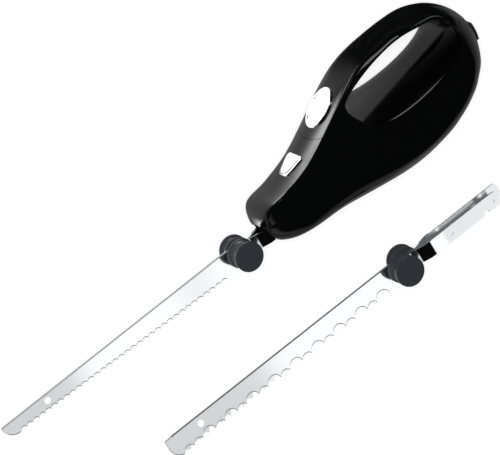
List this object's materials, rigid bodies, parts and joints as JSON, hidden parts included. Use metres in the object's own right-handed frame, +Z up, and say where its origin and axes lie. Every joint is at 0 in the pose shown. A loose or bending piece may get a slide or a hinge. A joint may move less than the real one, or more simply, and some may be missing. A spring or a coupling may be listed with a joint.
{
  "type": "electric_carving_knife",
  "caption": "Electric carving knife with a glossy black loop handle, chromed thumb and release buttons, twin scalloped blades, and a spare pair of toothed bread blades beside it",
  "frame": {"origin": "on the flat of the right side that the knife lies on, below the middle of the body, at floor level", "axes": "+X from the blade tips to the rear of the handle, +Y from the teeth to the top of the handle, +Z up, out of the knife's left side"},
  "size_m": [0.4452, 0.179, 0.06],
  "materials": {
    "gloss_black_plastic": "polished black moulding",
    "satin_black_plastic": "satin black moulding",
    "guard_plastic": "dark grey satin moulding",
    "sleeve_plastic": "black satin moulding",
    "button_chrome": "bright plated",
    "blade_steel": "bright satin, ground along its length",
    "rivet_steel": "satin",
    "screw_steel": "zinc plated",
    "motor_steel": "plated sheet and laminations",
    "bearing_bronze": "sintered bronze",
    "copper": "bare copper",
    "magnet_ferrite": "dull dark grey",
    "ring_rubber": "matt",
    "white_moulding": "natural acetal",
    "dark_moulding": "matt",
    "board_laminate": "green laminate"
  },
  "bodies": {
    "body": {"housing_left": "gloss_black_plastic", "housing_right": "gloss_black_plastic", "nose_cover": "gloss_black_plastic", "top_cover": "gloss_black_plastic", "blade_port": "satin_black_plastic", "cord_inlet": "satin_black_plastic", "housing_screws": "screw_steel", "gearbox_plate_left": "white_moulding", "gearbox_plate_right": "white_moulding", "gearbox_floor": "white_moulding", "wheel_axle": "screw_steel", "latch_pin": "screw_steel", "worm_pedestal": "white_moulding", "worm_bush": "bearing_bronze", "motor_can": "motor_steel", "motor_end_cap": "dark_moulding", "motor_front_bush": "bearing_bronze", "motor_rear_bush": "bearing_bronze", "motor_magnets": "magnet_ferrite", "motor_rings": "ring_rubber", "brushes": "magnet_ferrite", "switch_body": "dark_moulding", "switch_bracket": "white_moulding", "rectifier_board": "board_laminate", "diodes": "dark_moulding"},
    "wheel": {"drive_wheel": "white_moulding", "eccentric_left": "white_moulding", "eccentric_right": "white_moulding"},
    "armature": {"motor_shaft": "motor_steel", "worm": "bearing_bronze", "armature_core": "motor_steel", "commutator": "copper"},
    "left_carrier": {"carrier_left": "dark_moulding"},
    "right_carrier": {"carrier_right": "dark_moulding"},
    "left_blade": {"carving_blade_left": "blade_steel", "carving_guard_left": "guard_plastic", "carving_sleeve_left": "sleeve_plastic", "carving_rivet": "rivet_steel"},
    "right_blade": {"carving_blade_right": "blade_steel", "carving_guard_right": "guard_plastic", "carving_sleeve_right": "sleeve_plastic"},
    "thumb": {"thumb_button": "button_chrome"},
    "plunger": {"switch_plunger": "white_moulding"},
    "release": {"release_button": "button_chrome"},
    "latch": {"latch_lever": "white_moulding"},
    "spare_left": {"bread_blade_left": "blade_steel", "bread_guard_left": "guard_plastic", "bread_sleeve_left": "sleeve_plastic", "bread_rivet": "rivet_steel"},
    "spare_right": {"bread_blade_right": "blade_steel", "bread_guard_right": "guard_plastic", "bread_sleeve_right": "sleeve_plastic"}
  },
  "joints": [
    {"name": "wheel_turn", "type": "hinge", "parent": "body", "child": "wheel", "pos_m": [0.008, 0.014, 0.03], "axis": [0, 0, 1], "range_deg": [-90, 90]},
    {"name": "motor_spin", "type": "hinge", "parent": "body", "child": "armature", "pos_m": [0.04, -0.0025, 0.03], "axis": [1, 0, 0], "range_deg": [-2160, 2160]},
    {"name": "left_stroke", "type": "slide", "parent": "body", "child": "left_carrier", "axis": [1, 0, 0], "range_m": [-0.004, 0.004]},
    {"name": "right_stroke", "type": "slide", "parent": "body", "child": "right_carrier", "axis": [1, 0, 0], "range_m": [-0.004, 0.004]},
    {"name": "left_blade_pull", "type": "slide", "parent": "left_carrier", "child": "left_blade", "axis": [-1, 0, 0], "range_m": [0, 0.075]},
    {"name": "right_blade_pull", "type": "slide", "parent": "right_carrier", "child": "right_blade", "axis": [-1, 0, 0], "range_m": [0, 0.075]},
    {"name": "thumb_press", "type": "slide", "parent": "body", "child": "thumb", "axis": [0.5064, -0.8623, 0], "range_m": [0, 0.0025], "stiffness_N_per_m": 600, "springref_m": -0.002},
    {"name": "plunger_press", "type": "slide", "parent": "body", "child": "plunger", "axis": [0.5064, -0.8623, 0], "range_m": [0, 0.0025]},
    {"name": "release_press", "type": "slide", "parent": "body", "child": "release", "axis": [0.4228, -0.9062, 0], "range_m": [0, 0.0015], "stiffness_N_per_m": 800, "springref_m": -0.002},
    {"name": "latch_rock", "type": "hinge", "parent": "body", "child": "latch", "pos_m": [-0.032, 0.0125, 0.03], "axis": [0, 0, 1], "range_deg": [0, 9.05]},
    {"name": "spare_lift", "type": "slide", "parent": "body", "child": "spare_left", "axis": [0, 0, 1], "range_m": [0, 0.1]},
    {"name": "spare_slip", "type": "slide", "parent": "spare_left", "child": "spare_right", "axis": [1, 0, 0], "range_m": [-0.014, 0.002]}
  ],
  "couplings": [
    {"joint": "right_stroke", "follows": "left_stroke", "ratio": -1},
    {"joint": "wheel_turn", "follows": "left_stroke", "rad_per_m": -392.7},
    {"joint": "motor_spin", "follows": "left_stroke", "rad_per_m": 9424.8},
    {"joint": "right_blade_pull", "follows": "left_blade_pull", "ratio": 1},
    {"joint": "plunger_press", "follows": "thumb_press", "ratio": 1},
    {"joint": "latch_rock", "follows": "release_press", "rad_per_m": 105.26}
  ]
}
